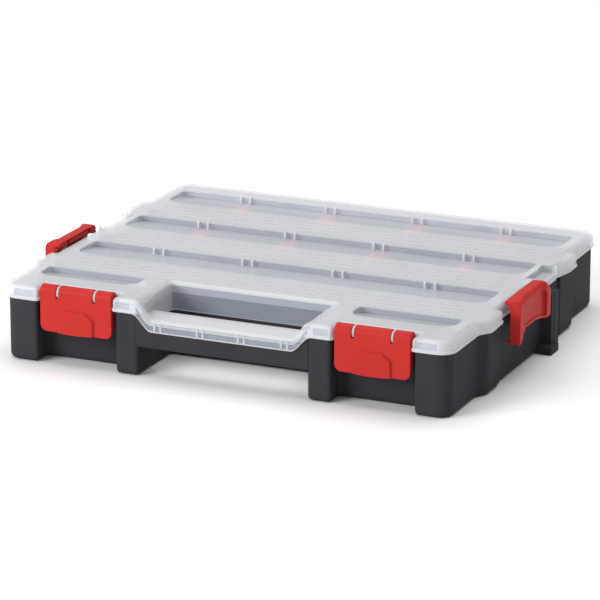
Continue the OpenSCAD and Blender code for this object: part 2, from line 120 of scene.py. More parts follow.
# Windows, and the ribs and fine lines of the lid's top
WINDOW_H = 6.0
WINDOW_X = 188.0
WINDOW_BACK = 61.0
WINDOW_L = 40.0
FRONT_WINDOW_X = 98.0
FRONT_WINDOW_L = 26.0
FRONT_CORNER_R = 13.0
BACK_CORNER_R = 4.5
LIP_R = 0.9
RIB_HALF = 0.8
RIB_SPREAD = 4.6
RIDGE_H = 0.35
LINES = 4
LINE_START = -79.5
LINE_PITCH = 9.0
LINE_W = 2.0
LINE_END = 178.0

# The lid's material slots: plain and thick walls, thin walls in a partly painted shade, and steep walls
# and skirts in painted shade
PLAIN, THICK, THIN_SHADED, SHADED_WALL = range(4)

# Compartments; the guides hold the dividers at their places
ROWS = (-89.5, 0.0, 89.5)
PLACES = (-126.0, -42.0, 42.0, 126.0)
FLOOR_CHAMFER = 2.0
ROW_END = 195.0
ROW_T = 2.0
ROW_H = 63.0
GUIDE_T = 1.4
GUIDE_H = 49.5
GUIDE_OFF = 1.1
DIVIDER_TOP = 57.7

# Hinge; its axis is given as (y, z)
HINGE = (180.0, 52.0)
HINGE_X = 115.0
HINGE_L = 30.0
KNUCKLE_L = 14.0
KNUCKLE_GAP = 0.5
HINGE_R = 4.2

# Front latches; the axis is given as (y, z), and the pad is the raised grip with its dots
LATCH_AXIS = (-168.2, 62.3)
LATCH_X = 133.5
LATCH_HALF = 33.1
LATCH_Z = 28.7
LATCH_R = 6.0
LATCH_FACE_Y = FRONT - 0.2
FACE_T = 3.0
FACE_CORNER_R = 6.0
NOSE_HALF = 13.0
WEB_HALF = 1.0
EAR_X = 17.0
EAR_T = 1.7
EAR_GAP = 0.4
PIN_R = 1.5
PAD_H = 20.3
PAD_OUT = 1.8
PAD_CORNER = 7.5
DOT_R = 0.45
DOT_UP = 0.22
DOT_ROWS = 11
DOTS_EACH_SIDE = 9
DOT_PITCH_X = 1.55
DOT_PITCH_Z = 1.5
DOT_STAGGER = 0.77

# Side latches; the axis is given as (x, z), and the latch runs from the first y to the second
SIDE_AXIS = (210.2, 64.0)
SIDE_LATCH = (-64.0, 10.0)
SIDE_EARS = (-47.0, -8.0)
SIDE_LATCH_Z = 33.0
SIDE_ROD_R = 2.4
FLANGE_IN = 205.0
FLANGE_T = 4.6
FLANGE_END_T = 3.2
FLANGE_TOP = 69.7
PLATE_OUT = 216.9
PLATE_T = 3.0
PLATE_BULGE = 2.4
PLATE_Z = 41.7
FLANGE_REAR = 5.0
PANEL_OUT = 215.9


# ---- Outlines ----

def corner_points(a, b, c, r):
    """The arc that rounds corner b between a and c."""
    u = (a - b).normalized()
    w = (c - b).normalized()
    half = math.acos(max(-1.0, min(1.0, u.dot(w)))) / 2
    middle = b + (u + w).normalized() * (r / math.sin(half))
    start = b + u * (r / math.tan(half)) - middle
    turn = (b + w * (r / math.tan(half)) - middle).angle_signed(start)
    a0 = math.atan2(start.y, start.x)
    angles = [a0 + turn * k / ARC_STEPS for k in range(ARC_STEPS + 1)]
    return [middle + Vector((math.cos(t), math.sin(t))) * r for t in angles]


def rounded(outline):
    """A closed outline of (x, y, radius) with its corners rounded."""
    points = [Vector(p[:2]) for p in outline]
    result = []
    for i, (_, _, r) in enumerate(outline):
        before, after = points[i - 1], points[(i + 1) % len(points)]
        result += corner_points(before, points[i], after, r) if r else [points[i]]
    return [tuple(p) for p in result]


def both_sides(half):
    """The right half of an outline and its mirror image."""
    return half + [(-x, y, r) for x, y, r in reversed(half)]


def tray_outline(g):
    """The tray's outer face in plan, moved g inwards."""
    edge = max(EDGE_R - g, LEAST_R)
    small = max(SMALL_R - g, LEAST_R)
    side = SIDE_X - g
    shoulder = SIDE_X + SHOULDER_OUT - g
    middle_wall = SIDE_X + SIDE_WALL_OUT - g
    return rounded(both_sides([
        (LEG_X + g, HANDLE_WALL + g, EDGE_R + g),
        (LEG_X + g, FRONT + g, edge),
        (RECESS_X[0] - g, FRONT + g, edge),
        (RECESS_X[0] - g, FRONT + RECESS_D + g, EDGE_R + g),
        (RECESS_X[1] + g, FRONT + RECESS_D + g, EDGE_R + g),
        (RECESS_X[1] + g, FRONT + g, edge),
        (side, FRONT + g, CORNER_R - g),
        (side, SLANT[0], SLANT_R),
        (shoulder, SLANT[1], SLANT_R),
        (shoulder, FRONT_SHOULDER_END - g, small),
        (middle_wall, FRONT_SHOULDER_END - g, LEAST_R),
        (middle_wall, REAR_SHOULDER[0] + g, LEAST_R),
        (shoulder, REAR_SHOULDER[0] + g, small),
        (shoulder, REAR_SHOULDER[1] - g, max(REAR_SHOULDER_R - g, LEAST_R)),
        (side, REAR_SHOULDER[1] - g, SMALL_R + g),
        (side, BACK - g, CORNER_R - g),
    ]))


def lid_outline(g):
    """The lid's outer face in plan, moved g inwards. Its lip hangs over the tray by OVERHANG."""
    o = OVERHANG
    edge = max(EDGE_R + 0.5 - g, LID_LEAST_R)
    small = max(EDGE_R - g, LID_LEAST_R)
    side = SIDE_X + o - g
    shoulder = SIDE_X + o + SHOULDER_OUT - g
    middle_wall = SIDE_X + o + SIDE_WALL_OUT - g
    return rounded(both_sides([
        (LEG_X - o + g, HANDLE_WALL - o + g, EDGE_R + g),
        (LEG_X - o + g, FRONT - o + g, edge),
        (RECESS_X[0] + o - g, FRONT - o + g, edge),
        (RECESS_X[0] + o - g, LATCH_WALL + g, 1 + g),
        (RECESS_X[1] - o + g, LATCH_WALL + g, 1 + g),
        (RECESS_X[1] - o + g, FRONT - o + g, edge),
        (side, FRONT - o + g, CORNER_R + o - g),
        (side, LID_SLANT[0], 6),
        (shoulder + BULGE, LID_SLANT[1], 10),
        (shoulder, FRONT_SHOULDER_END + o - g, small),
        (LATCH_SIDE - g, FRONT_SHOULDER_END + o - g, 1 + g),
        (LATCH_SIDE - g, LUG[0] - o - g, 1 + g),
        (middle_wall, LUG[0] - o - g, LID_LEAST_R),
        (middle_wall, POCKET_END - 2, LID_LEAST_R),
        (SIDE_X + SIDE_WALL_OUT + LID_LEAST_R - g, POCKET_END + 1, LID_LEAST_R),
        (shoulder + BULGE, REAR_SHOULDER[0] + 16, 18),
        (shoulder + BULGE / 2, REAR_SHOULDER[1] + o - g, small),
        (side, REAR_SHOULDER[1] + o - g, EDGE_R + g),
        (side, BACK + o - g, CORNER_R + o - g),
    ]))


def turns(steps, degrees=90):
    """Angles from zero to that many degrees, in equal steps."""
    return [math.radians(degrees) * k / steps for k in range(steps + 1)]


def across(reach, steps):
    """x from -reach to reach, in so many steps on either side of the middle."""
    return [reach * (k / steps - 1) for k in range(2 * steps + 1)]


def clamped(t):
    return max(0, min(1, t))


def eased(x, x0, z0, x1, z1):
    """Height at x on the curve that rises from x0, z0 to x1, z1."""
    along = clamped((abs(x) - x0) / (x1 - x0))
    return z0 + (z1 - z0) * (1 - math.cos(math.pi * along)) / 2


def split_z(x):
    """Height of the split between the tray and the lid along the handle."""
    return eased(x, LEG_X - DROP_IN, SPLIT_Z, LEG_X + SPLIT_OUT, RIM_Z)


def grip_z(x):
    """Height of the handle's top along its front."""
    return eased(x, LEG_X - DROP_IN, GRIP_Z, LEG_X + CHEEK_OUT, TOP)


# ---- Solids ----

def solid(points, faces):
    """A closed mesh from points in millimetres, with its faces turned outwards."""
    mesh = bpy.data.meshes.new("solid")
    mesh.from_pydata([Vector(p) * MM for p in points], [], faces)
    work = bmesh.new()
    work.from_mesh(mesh)
    bmesh.ops.recalc_face_normals(work, faces=work.faces)
    work.to_mesh(mesh)
    work.free()
    return mesh


def loft(rings):
    """A solid through rings of as many points each, closed by a face at each end."""
    n = len(rings[0])
    points = [p for ring in rings for p in ring]
    faces = [tuple(range(n))]
    for k in range(len(rings) - 1):
        for i in range(n):
            j = (i + 1) % n
            faces.append((k * n + i, k * n + j, (k + 1) * n + j, (k + 1) * n + i))
    faces.append(tuple((len(rings) - 1) * n + i for i in reversed(range(n))))
    return solid(points, faces)


def made_of(index, *meshes):
    """Gives every face of the meshes that material slot; a cut leaves its own slot on what it exposes."""
    for mesh in meshes:
        mesh.polygons.foreach_set("material_index", [index] * len(mesh.polygons))
    return list(meshes)


def level(outline, z):
    """The flat outline at height z."""
    return [(x, y, z) for x, y in outline]


def prism_z(outline, z0, z1):
    return loft([level(outline, z0), level(outline, z1)])


def prism_y(outline, y0, y1):
    """A plate that stands across Y; its outline is in X and Z."""
    return loft([[(x, y, z) for x, z in outline] for y in (y0, y1)])


def prism_x(outline, x0, x1):
    """A plate that stands across X; its outline is in Y and Z."""
    return loft([[(x, y, z) for y, z in outline] for x in (x0, x1)])


def box(x0, x1, y0, y1, z0, z1):
    return prism_z([(x0, y0), (x1, y0), (x1, y1), (x0, y1)], z0, z1)


def circle(u, v, r, n=32):
    angles = [2 * math.pi * k / n for k in range(n)]
    return [(u + r * math.cos(t), v + r * math.sin(t)) for t in angles]


def rod_x(x0, x1, y, z, r):
    return prism_x(circle(y, z, r), x0, x1)


def rod_y(y0, y1, x, z, r):
    return prism_y(circle(x, z, r), y0, y1)


def placed(name, data):
    """A new object in the scene."""
    thing = bpy.data.objects.new(name, data)
    bpy.context.scene.collection.objects.link(thing)
    return thing


def combine(name, first, steps):
    """Adds and cuts solids in turn; steps are ("UNION" or "DIFFERENCE", [solids])."""
    piece = placed(name, first)
    helpers = []
    for operation, tools in steps:
        for tool in tools:
            helper = placed("tool", tool)
            helpers.append(helper)
            step = piece.modifiers.new("step", "BOOLEAN")
            step.operation = operation
            step.solver = "MANIFOLD"
            step.object = helper
    shape = bpy.data.meshes.new_from_object(piece.evaluated_get(bpy.context.evaluated_depsgraph_get()))
    piece.modifiers.clear()
    piece.data = shape
    for helper in helpers:
        bpy.data.objects.remove(helper)
    return piece


def smooth(piece, angle=28):
    """Shades shallow edges smooth, and keeps the large flat faces flat."""
    piece.data.shade_smooth()
    piece.data.set_sharp_from_angle(angle=math.radians(angle))
    weights = piece.modifiers.new("weights", "WEIGHTED_NORMAL")
    weights.keep_sharp = True


def clean(piece):
    """Merges the points and the flat faces that the cuts left over."""
    work = bmesh.new()
    work.from_mesh(piece.data)
    bmesh.ops.remove_doubles(work, verts=work.verts, dist=0.02 * MM)
    bmesh.ops.dissolve_limit(work, angle_limit=math.radians(0.6), verts=work.verts, edges=work.edges)
    work.to_mesh(piece.data)
    work.free()


def soften(piece, width, segments=2, angle=28):
    """Rounds every edge sharper than angle."""
    clean(piece)
    edge = piece.modifiers.new("edges", "BEVEL")
    edge.width = width * MM
    edge.segments = segments
    edge.limit_method = "ANGLE"
    edge.angle_limit = math.radians(angle)
    edge.use_clamp_overlap = False
    edge.miter_outer = "MITER_ARC"
    smooth(piece, angle + 10)


def finished(piece, body, slot, materials, *nodes):
    """Paints the piece and puts it on its body, in place of the CAD nodes."""
    while len(piece.data.materials) < len(materials):
        piece.data.materials.append(None)
    for i, material in enumerate(materials):
        piece.data.materials[i] = material
    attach(piece, body)
    if nodes:
        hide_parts(*nodes)


# ---- Materials ----

PLASTIC_IOR = 1.49
DULL_SPECULAR = 0.06
MOTTLE = 30
FROST_GRAIN = 900
FROST_MOTTLE = 18
FROST_ROUGH = (0.28, 0.42)
FROST_HEIGHT = 0.012
METAL_GRAIN = 500

# Darkest and lightest colour of the lid's plastic, by how its walls look: the milky pair is the plastic's
# own tone, the bluish pair for thin window floors is partly painted shade of the dark inside seen through
# them, and the shaded pair is painted shade on steep walls and skirts
MILKY = ((0.86, 0.87, 0.91), (0.90, 0.91, 0.94))
BLUISH_SHADE = ((0.78, 0.81, 0.91), (0.84, 0.87, 0.95))
SHADED = ((0.58, 0.63, 0.78), (0.64, 0.69, 0.82))


def new_material(name):
    material = bpy.data.materials.new(name)
    material.use_nodes = True
    nodes = material.node_tree.nodes
    return material, nodes, material.node_tree.links, nodes["Principled BSDF"]


def speckle(nodes, links, scale, detail=4.0):
    """Noise that is the same size everywhere on the object."""
    place = nodes.new("ShaderNodeTexCoord")
    noise = nodes.new("ShaderNodeTexNoise")
    noise.inputs["Scale"].default_value = scale
    noise.inputs["Detail"].default_value = detail
    links.new(place.outputs["Object"], noise.inputs["Vector"])
    return noise.outputs["Fac"]


def ramp(nodes, links, source, dark, light):
    """Colours between dark and light by the source's value."""
    mix = nodes.new("ShaderNodeValToRGB")
    mix.color_ramp.elements[0].position = 0.3
    mix.color_ramp.elements[0].color = (*dark, 1)
    mix.color_ramp.elements[1].position = 0.7
    mix.color_ramp.elements[1].color = (*light, 1)
    links.new(source, mix.inputs["Fac"])
    return mix.outputs["Color"]


def spread(nodes, links, source, low, high):
    """A number between low and high by the source's value."""
    scale = nodes.new("ShaderNodeMapRange")
    scale.inputs["To Min"].default_value = low
    scale.inputs["To Max"].default_value = high
    links.new(source, scale.inputs["Value"])
    return scale.outputs["Result"]


def bump(nodes, links, source, shader, height):
    """Surface relief that is height millimetres deep."""
    relief = nodes.new("ShaderNodeBump")
    relief.inputs["Distance"].default_value = height * MM
    relief.inputs["Strength"].default_value = 1.0
    links.new(source, relief.inputs["Height"])
    links.new(relief.outputs["Normal"], shader.inputs["Normal"])


def moulded(name, dark, light, rough, grain, height):
    """Opaque moulded plastic with a fine surface texture."""
    material, nodes, links, shader = new_material(name)
    fine = speckle(nodes, links, grain)
    broad = speckle(nodes, links, MOTTLE, detail=2)
    links.new(ramp(nodes, links, broad, dark, light), shader.inputs["Base Color"])
    links.new(spread(nodes, links, fine, *rough), shader.inputs["Roughness"])
    shader.inputs["IOR"].default_value = PLASTIC_IOR
    bump(nodes, links, fine, shader, height)
    return material


def frosted(name, colours, alpha):
    """Milky translucent polypropylene; thin walls let more of the inside show, and the darker copies
    carry painted shade in their colours.
    """
    material, nodes, links, shader = new_material(name)
    fine = speckle(nodes, links, FROST_GRAIN)
    broad = speckle(nodes, links, FROST_MOTTLE, detail=3)
    links.new(ramp(nodes, links, broad, *colours), shader.inputs["Base Color"])
    links.new(spread(nodes, links, fine, *FROST_ROUGH), shader.inputs["Roughness"])
    shader.inputs["IOR"].default_value = PLASTIC_IOR
    shader.inputs["Alpha"].default_value = alpha
    bump(nodes, links, fine, shader, FROST_HEIGHT)
    return material


def metal(name, dark, light, rough):
    material, nodes, links, shader = new_material(name)
    fine = speckle(nodes, links, METAL_GRAIN)
    links.new(ramp(nodes, links, fine, dark, light), shader.inputs["Base Color"])
    links.new(spread(nodes, links, fine, *rough), shader.inputs["Roughness"])
    shader.inputs["Metallic"].default_value = 1.0
    return material


BLACK = moulded("black_plastic", dark=(0.036, 0.0345, 0.041), light=(0.044, 0.0425, 0.050),
                rough=(0.5, 0.66), grain=1400, height=0.02)
RED = moulded("red_plastic", dark=(0.49, 0.030, 0.026), light=(0.54, 0.036, 0.031),
              rough=(0.32, 0.46), grain=1200, height=0.015)
# The dividers are a brighter red than the latches as painted light, standing in for the light the frosted
# lid lets into the closed case
DIVIDER_RED_PAINTED_LIGHT = moulded("divider_plastic", dark=(0.74, 0.026, 0.045), light=(0.80, 0.036, 0.055),
                      rough=(0.35, 0.5), grain=1200, height=0.015)
CLEAR = frosted("clear_plastic", MILKY, alpha=0.47)
CLEAR_THICK = frosted("clear_plastic_thick", MILKY, alpha=0.52)
# Thin floors are more see-through; their darker bluish colour is partly painted shade of the inside
CLEAR_THIN_SHADED = frosted("clear_plastic_thin_painted_shade", BLUISH_SHADE, alpha=0.38)
# Steep walls and skirts get a darker bluish colour as painted shade
CLEAR_SHADED_WALL = frosted("clear_plastic_painted_shade", SHADED, alpha=0.28)
STEEL = metal("steel", dark=(0.45, 0.45, 0.47), light=(0.62, 0.62, 0.64), rough=(0.25, 0.4))
for plastic in (BLACK, RED):
    plastic.node_tree.nodes["Principled BSDF"].inputs["Specular IOR Level"].default_value = DULL_SPECULAR


# ---- Tray ----

def quarter(r):
    """(inset, height) of a rounded foot, from the bottom face up to the wall."""
    return [(r * (1 - math.sin(t)), r * (1 - math.cos(t))) for t in turns(5)]


def tray_shell():
    """The outer wall up from its rounded foot, over the rim and down inside to the floor."""
    rings = [level(tray_outline(g), z) for g, z in quarter(FOOT_R)]
    rings += [level(tray_outline(0), RIM_Z), level(tray_outline(WALL), RIM_Z)]
    rings.append(level(tray_outline(WALL), FLOOR + FLOOR_CHAMFER))
    rings.append(level(tray_outline(WALL + FLOOR_CHAMFER), FLOOR))
    return loft(rings)


def handle_bar():
    """A trough from leg to leg, open at the top."""
    y0, y1 = FRONT, FRONT + BAR_D
    section = rounded([
        (y0, BAR_Z, BAR_R), (y1, BAR_Z, BAR_R), (y1, RIM_Z, 0), (y1 - WALL, RIM_Z, 0),
        (y1 - WALL, BAR_Z + WALL, 1), (y0 + WALL, BAR_Z + WALL, 1), (y0 + WALL, RIM_Z, 0), (y0, RIM_Z, 0),
    ])
    end = LEG_X + WALL / 2
    return prism_x(section, -end, end)


def split_cut():
    """What stands above the curve of the split from leg to leg."""
    reach = LEG_X + SPLIT_OUT
    low = [(x, split_z(x)) for x in across(reach, 30)]
    return prism_y(low + [(reach, RIM_Z + 2), (-reach, RIM_Z + 2)], FRONT - 1, FRONT + BAR_D + 0.01)


def gap_cut():
    """The tray's wall round the finger gap is only as high as the bar."""
    reach = LEG_X + WALL + 1
    return box(-reach, reach, FRONT + BAR_D, HANDLE_WALL + WALL + 1, SPLIT_Z, RIM_Z + 1)


def row_walls():
    """Full height between the ends of the rows, and lower where they meet the side walls."""
    walls = []
    for y in ROWS:
        y0, y1 = y - ROW_T / 2, y + ROW_T / 2
        section = [(y0, FLOOR - 1), (y1, FLOOR - 1), (y1, ROW_H), (y0, ROW_H)]
        walls.append(prism_x(section, -ROW_END, ROW_END))
        walls.append(box(-SIDE_X, SIDE_X, y0, y1, FLOOR - 1, GUIDE_H))
    return walls


def divider_guides():
    """Ribs on either side of each divider place, on both faces of the row walls and on the back wall."""
    guides = []
    for y in ROWS:
        y0 = y - ROW_T / 2 - (GUIDE_T if y > ROWS[0] else 0)
        y1 = y + ROW_T / 2 + GUIDE_T
        for x in PLACES:
            for x0 in (x - GUIDE_OFF - GUIDE_T, x + GUIDE_OFF):
                x1 = x0 + GUIDE_T
                guides.append(box(x0, x1, y0, y1, FLOOR - 1, GUIDE_H))
                if y == ROWS[-1]:
                    guides.append(box(x0, x1, BACK - WALL - GUIDE_T, BACK - 1, FLOOR - 1, GUIDE_H))
    return guides


def span(side, a, b):
    """a and b measured from the middle, on the given side, lowest first."""
    return (a, b) if side > 0 else (-b, -a)


def stacking_lug(side):
    """A low foot, and a column behind it that stands up to the lid, with a groove down its face."""
    x0 = SIDE_X + SIDE_WALL_OUT - 1
    x1 = x0 + 11
    y0, y1 = LUG
    foot_h = 7
    foot = box(*span(side, x0, x0 + 1 + LUG_OUT), y0, y0 + 18, 0, foot_h)
    column = box(*span(side, x0, x1), y0 + 10, y1, 0, RIM_Z - 3)
    groove = box(*span(side, x1 - 1.2, x1 + 1), y0 + 16, y0 + 17, foot_h + 1, RIM_Z)
    return [foot, column], [groove]


def catches(side):
    """The ledges over the noses of a front latch and a side latch."""
    recess = FRONT + RECESS_D
    wall = SIDE_X + SIDE_WALL_OUT
    z = (CATCH_Z, CATCH_Z + CATCH_T)
    return [box(*span(side, LATCH_X - 14, LATCH_X + 14), recess - 8, recess + 1, *z),
            box(*span(side, wall - 1, wall + 2), SIDE_LATCH[0] + 28, SIDE_LATCH[1] - 28, *z)]


def knuckle_middles(side):
    """x of the tray's knuckles, on either side of the lid's."""
    return [side * HINGE_X + s * (HINGE_L / 2 + KNUCKLE_L / 2 + KNUCKLE_GAP) for s in SIDES]


def tray_knuckles(side):
    """The two knuckles beside the lid's, each on a bracket from the back wall."""
    y, z = HINGE
    bracket = [(BACK - 1, z - HINGE_R - 6), (y, z - HINGE_R), (y, z), (BACK - 1, z)]
    parts = []
    for x in knuckle_middles(side):
        ends = (x - KNUCKLE_L / 2, x + KNUCKLE_L / 2)
        parts.append(rod_x(*ends, y, z, HINGE_R))
        parts.append(prism_x(bracket, *ends))
    return parts


def make_tray():
    add = [handle_bar(), *row_walls(), *divider_guides()]
    cuts = [split_cut(), gap_cut()]
    for side in SIDES:
        solids, grooves = stacking_lug(side)
        add += [*solids, *catches(side), *tray_knuckles(side)]
        cuts += [*grooves, rod_x(side * HINGE_X - 40, side * HINGE_X + 40, *HINGE, PIN_R)]
    tray = combine("tray_moulding", tray_shell(), [("UNION", add), ("DIFFERENCE", cuts)])
    soften(tray, 0.45)
    finished(tray, "tray", "black_plastic", [BLACK], "base_tray")


# ---- Lid ----

def lid_block_and_hollow():
    """The outer skin with its lip, skirt and rounded top edge, and the hollow under it."""
    bevel = 0.3
    lip_top = LID_Z + LIP_H
    outer = [(bevel, LID_Z), (0, LID_Z + bevel), (0, lip_top - bevel), (bevel, lip_top),
             (LIP_OUT, lip_top + 0.2)]
    outer += [(LIP_OUT + TOP_R * (1 - math.cos(t)), TOP - TOP_R * (1 - math.sin(t))) for t in turns(6)]
    inside = LIP_OUT + SKIN
    hollow = [(inside, LID_Z - 1), (inside, TOP - TOP_R), (inside + 1, TOP - SKIN - 1),
              (LIP_OUT + TOP_R, TOP - SKIN)]
    block = loft([level(lid_outline(g), z) for g, z in outer])
    return block, loft([level(lid_outline(g), z) for g, z in hollow])


def tongue():
    """The ring that drops inside the tray's wall."""
    outer = WALL + TONGUE_GAP
    inner = outer + TONGUE_T
    low, high = RIM_Z - TONGUE_DROP, TOP - SKIN + 0.2
    corners = ((outer, low), (outer, high), (inner, high), (inner, low))
    rings = [level(tray_outline(g), z) for g, z in corners]
    n = len(rings[0])
    faces = []
    for k in range(len(rings)):
        here, there = k * n, (k + 1) % len(rings) * n
        for i in range(n):
            j = (i + 1) % n
            faces.append((here + i, here + j, there + j, there + i))
    return solid([p for ring in rings for p in ring], faces)


def window_plan(x0, x1, back, length, grow):
    """A window's outline, grown at its sides and its back wall."""
    return rounded([
        (x0 - grow, back - length, FRONT_CORNER_R), (x1 + grow, back - length, FRONT_CORNER_R),
        (x1 + grow, back + grow, BACK_CORNER_R), (x0 - grow, back + grow, BACK_CORNER_R),
    ])


def window_floor(plan, back, length, drop):
    """The floor slopes up from the back wall to the flat top."""
    return [(x, y, TOP - WINDOW_H * (y - back + length) / length - drop) for x, y in plan]


def window_cut(x0, x1, back, length):
    """The hollow flares at the top, which leaves a rounded lip round the window."""
    bottom = window_floor(window_plan(x0, x1, back, length, 0), back, length, 0)
    lip = [max(z, TOP - LIP_R) for _, _, z in bottom]
    rings = [bottom]
    for t in turns(4):
        grown = window_plan(x0, x1, back, length, LIP_R * (1 - math.cos(t)))
        rings.append([(x, y, z + (TOP - z) * math.sin(t)) for (x, y), z in zip(grown, lip)])
    rings.append(level(grown, TOP + 2))
    hollow = loft(rings)
    # Back walls take the colour of painted shade; floors take the thin colour, which is partly painted
    # shade
    for face in hollow.polygons:
        back_wall = face.center.y > (back - 1) * MM and face.center.z < (TOP - LIP_R) * MM
        face.material_index = SHADED_WALL if back_wall else THIN_SHADED
    return hollow


def window_pan(x0, x1, back, length):
    """The block that keeps a skin under a window's hollow."""
    plan = window_plan(x0, x1, back, length, SKIN)
    return loft([window_floor(plan, back, length, SKIN), level(plan, TOP - 0.3)])


ROW_WINDOWS = [(-WINDOW_X, WINDOW_X, y + WINDOW_BACK, WINDOW_L) for y in ROWS]
FRONT_WINDOWS = [(*span(side, FRONT_WINDOW_X, WINDOW_X), FRONT + WINDOW_BACK, FRONT_WINDOW_L)
                 for side in SIDES]
WINDOWS = ROW_WINDOWS + FRONT_WINDOWS


def window_ribs():
    """Pairs of ribs that straddle the top of each divider place."""
    foot, head = DIVIDER_TOP - 2, TOP + RIDGE_H
    ribs = []
    for _, _, back, _ in ROW_WINDOWS:
        front = back - 3.2
        outline = [(front, foot), (back + 1, foot), (back + 1, head), (back - 2, head), (front, TOP - 1)]
        for x in PLACES:
            for s in SIDES:
                middle = x + s * RIB_SPREAD
                ribs.append(prism_x(outline, middle - RIB_HALF, middle + RIB_HALF))
    return ribs


def fine_lines():
    """Low ridges along the flat bands between the windows."""
    lines = []
    for _, _, back, _ in ROW_WINDOWS:
        for k in range(LINES):
            y = back + LINE_START + LINE_PITCH * k
            if y > FRONT + WINDOW_BACK:
                lines.append(box(-LINE_END, LINE_END, y, y + LINE_W, TOP - 0.5, TOP + RIDGE_H))
    return lines


def side_pocket(side):
    """The pocket that takes the lug of the case above."""
    x0, x1 = SIDE_X - POCKET_IN, SIDE_X + SIDE_WALL_OUT + OVERHANG - 0.4
    y0, y1 = LUG[0] - OVERHANG + 0.4, POCKET_END + SKIN
    floor = box(*span(side, x0 - 2, x1), y0, y1, TOP - WINDOW_H - SKIN, TOP - 0.5)
    cut = box(*span(side, x0, SIDE_X + 20), y0 + SKIN, POCKET_END, TOP - WINDOW_H, TOP + 2)
    return floor, cut


def cheek_line(turned, lift):
    """The handle's top line across the case, moved up by lift.

    It starts as the eased curve of the front face, turned = 0, and ends as a straight drop beside the
    finger gap, turned = 1.
    """
    steps = 14
    half = []
    for k in range(steps + 1):
        along = k / steps
        x = LEG_X - DROP_IN + (DROP_IN + CHEEK_OUT) * along
        z = grip_z(x)
        over = clamped((z - TOP + TOP_R) / TOP_R)
        wall = LEG_X - OVERHANG + (LIP_OUT if over else 0) + TOP_R * (1 - math.sqrt(1 - over * over))
        wider = -lift * min(1, 3 * along)
        half.append((x + (wall - x) * turned + wider, z + lift))
    return [(-x, z) for x, z in reversed(half)] + half


def grip_stations():
    """(y, turned, drop) along the handle's top, rounded at its front and back edges."""
    stations = [(SKIRT_Y + GRIP_R * (1 - math.cos(t)), 0, -GRIP_R * (1 - math.sin(t))) for t in turns(5)]
    steps = 9
    for k in range(1, steps + 1):
        along = k / steps
        stations.append((SKIRT_Y + GRIP_R + CHEEK_L * along, along * along * (3 - 2 * along), 0))
    r = GRIP_EDGE_R
    return stations + [(GRIP_BACK - r, 1, 0), (GRIP_BACK - r / 3, 1, -r / 3), (GRIP_BACK, 1, -r)]


def grip_top():
    """The skin over the handle and its cheeks."""
    rings = []
    for y, turned, drop in grip_stations():
        line = cheek_line(turned, 0)
        under = cheek_line(turned, -SKIN)
        rings.append([(x, y, z + drop) for x, z in line + under[::-1]])
    return loft(rings)


def cheek_cut():
    """What the handle takes out of the flat top."""
    flat = [(y, turned) for y, turned, drop in grip_stations() if drop == 0]
    rings = []
    for y, turned in [(SKIRT_Y - LIP_OUT - 3, 0), *flat, (GRIP_BACK - 0.02, 1)]:
        line = cheek_line(turned, 0)
        rings.append([(x, y, z) for x, z in line + [(line[-1][0], TOP + 3), (line[0][0], TOP + 3)]])
    return loft(rings)


def grip_skirt():
    """The handle's front skirt with its lip, and its back wall."""
    low = [(x, split_z(x) + SEAT_GAP) for x in across(LEG_X + SPLIT_OUT, 40)]
    high = [(x, max(grip_z(x) - 2.6, z + 2.3)) for x, z in low]
    lip_top = [(x, z + 1.0) for x, z in low]
    skirt = prism_y(low + high[::-1], SKIRT_Y + 0.02, SKIRT_Y + SKIN)
    lip = prism_y(low + lip_top[::-1], SKIRT_Y - LIP_OUT + 0.04, SKIRT_Y + 1)
    inside = LEG_X - OVERHANG + 0.4
    back = box(-inside, inside, GRIP_BACK - SKIN, GRIP_BACK - 0.02, SPLIT_Z + SEAT_GAP, GRIP_Z - 1.3)
    # The front skirt takes the colour of painted shade
    return made_of(SHADED_WALL, skirt) + made_of(THICK, lip) + [back]


def gap_ring(g, z):
    """A U round the finger gap at height z; its inner line stands g outside the gap's wall."""
    x1, y1 = LEG_X - OVERHANG + g, HANDLE_WALL - OVERHANG + g
    deep = max(SKIN + 1.2, g + 0.8)
    x2, y2 = LEG_X - OVERHANG + deep, HANDLE_WALL - OVERHANG + deep
    y0 = GRIP_BACK - 1
    face_r, back_r = EDGE_R + 1 + g, EDGE_R + 3
    face = rounded([(x1, y0, 0), (x1, y1, face_r), (-x1, y1, face_r), (-x1, y0, 0)])
    back = rounded([(x2, y0, 0), (x2, y2, back_r), (-x2, y2, back_r), (-x2, y0, 0)])
    return level(face + back[::-1], z)


def gap_skirt():
    """The lid's wall round the finger gap, from the rounded top edge down to the tray's low wall.

    It stands a touch proud of the lid's own face there, so the two never lie in one plane.
    """
    low = SPLIT_Z + SEAT_GAP
    rings = [gap_ring(0.4, low), gap_ring(-PROUD, low + 0.6)]
    for t in turns(6, 82):
        inset = (LIP_OUT + TOP_R) * (1 - math.cos(t))
        rings.append(gap_ring(inset - PROUD, TOP - TOP_R * (1 - math.sin(t))))
    skirt = loft(rings)
    # The rear wall below the top edge takes the colour of painted shade
    for face in skirt.polygons:
        rear = face.center.y > (HANDLE_WALL - OVERHANG - 2) * MM
        face.material_index = SHADED_WALL if rear and face.center.z < (TOP - TOP_R) * MM else PLAIN
    return skirt


def grip_ribs():
    """Pairs of thin ribs on the handle's front skirt."""
    low, high = SPLIT_Z + SEAT_GAP + 1, GRIP_Z - 1.6
    middles = [x + off for x in GRIP_RIBS for off in (-GRIP_RIB_OFF, GRIP_RIB_OFF)]
    return [box(x - RIB_HALF, x + RIB_HALF, SKIRT_Y - 0.45, SKIRT_Y + 1.2, low, high) for x in middles]


